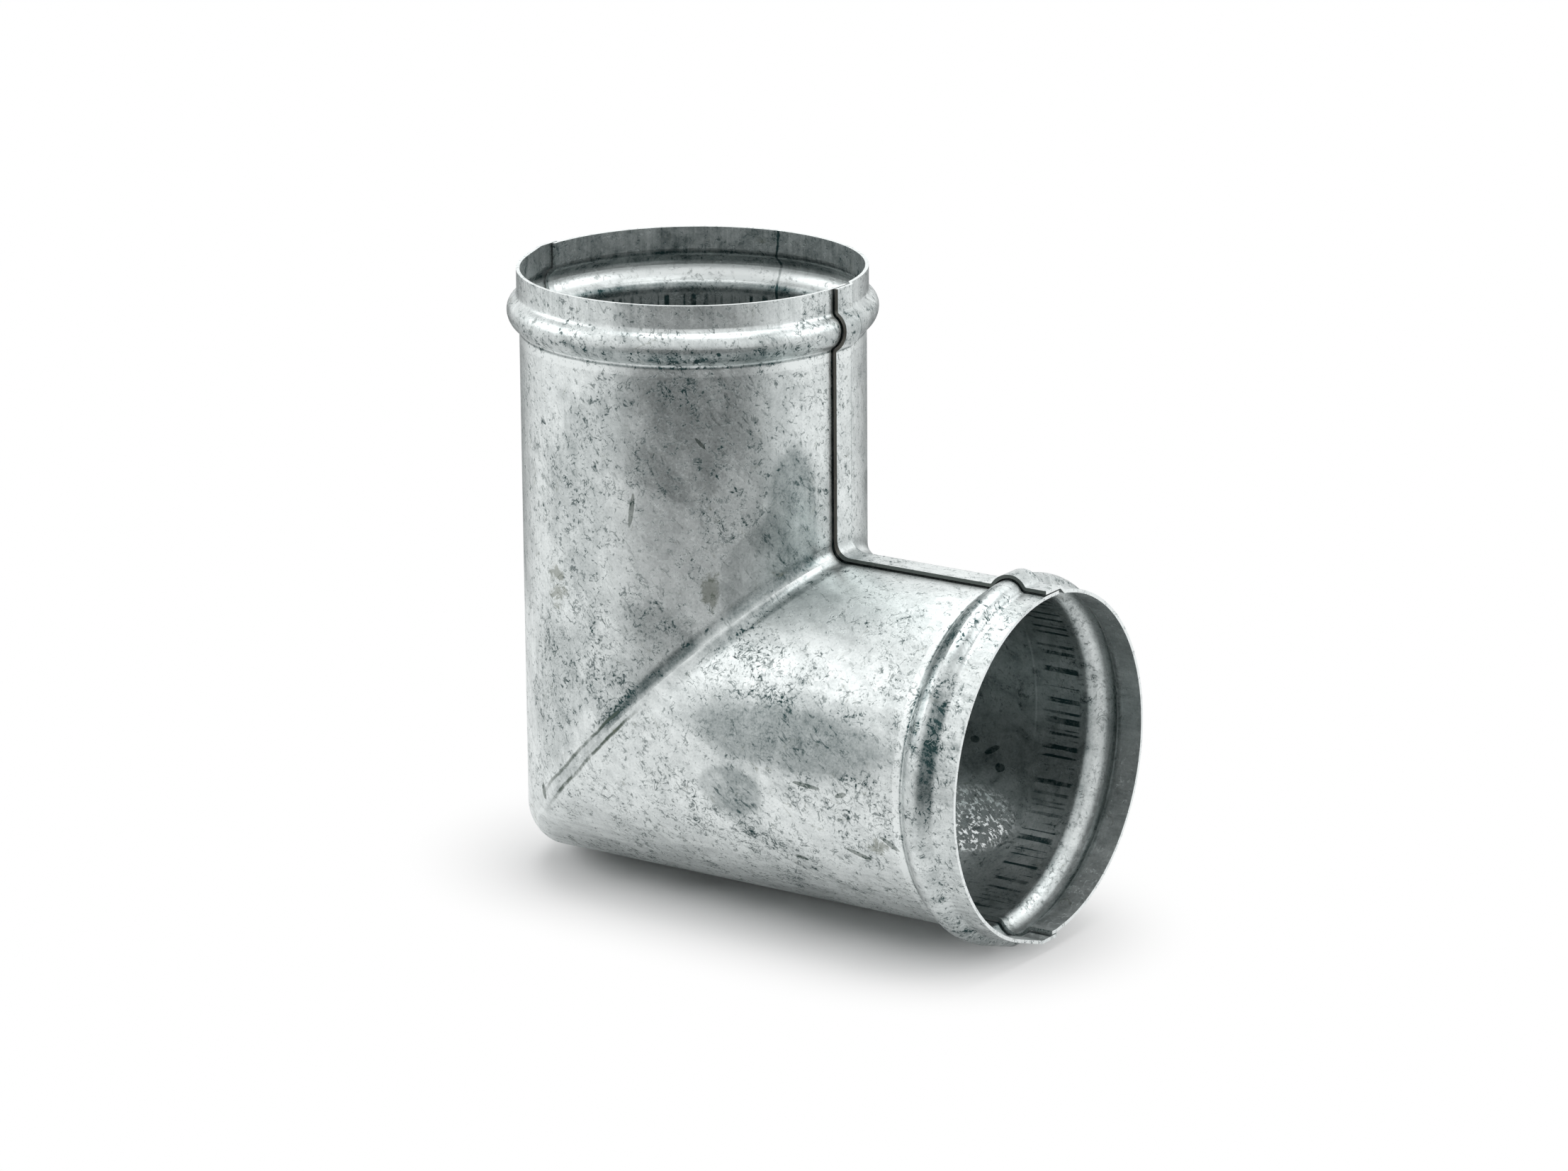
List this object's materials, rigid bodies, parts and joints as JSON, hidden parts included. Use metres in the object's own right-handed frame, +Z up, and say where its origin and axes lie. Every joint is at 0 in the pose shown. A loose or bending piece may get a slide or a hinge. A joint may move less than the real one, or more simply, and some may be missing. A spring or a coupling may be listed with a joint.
{
  "type": "duct elbow",
  "caption": "Right-angle duct elbow pressed from galvanised sheet as lapped half shells, with a mitred bend and a swaged bead behind each round collar.",
  "frame": {"origin": "under the middle of the elbow, level with the bottom of the outlet bead", "axes": "+Z up along the inlet leg, +X out along the outlet leg, bend plane at Y = 0"},
  "size_m": [0.1394, 0.0846, 0.1459],
  "materials": {
    "galvanised_sheet": "hot-dip galvanised, mottled and slightly scratched"
  },
  "bodies": {
    "root": {"front_half_shell": "galvanised_sheet", "rear_half_shell": "galvanised_sheet"}
  },
  "joints": []
}
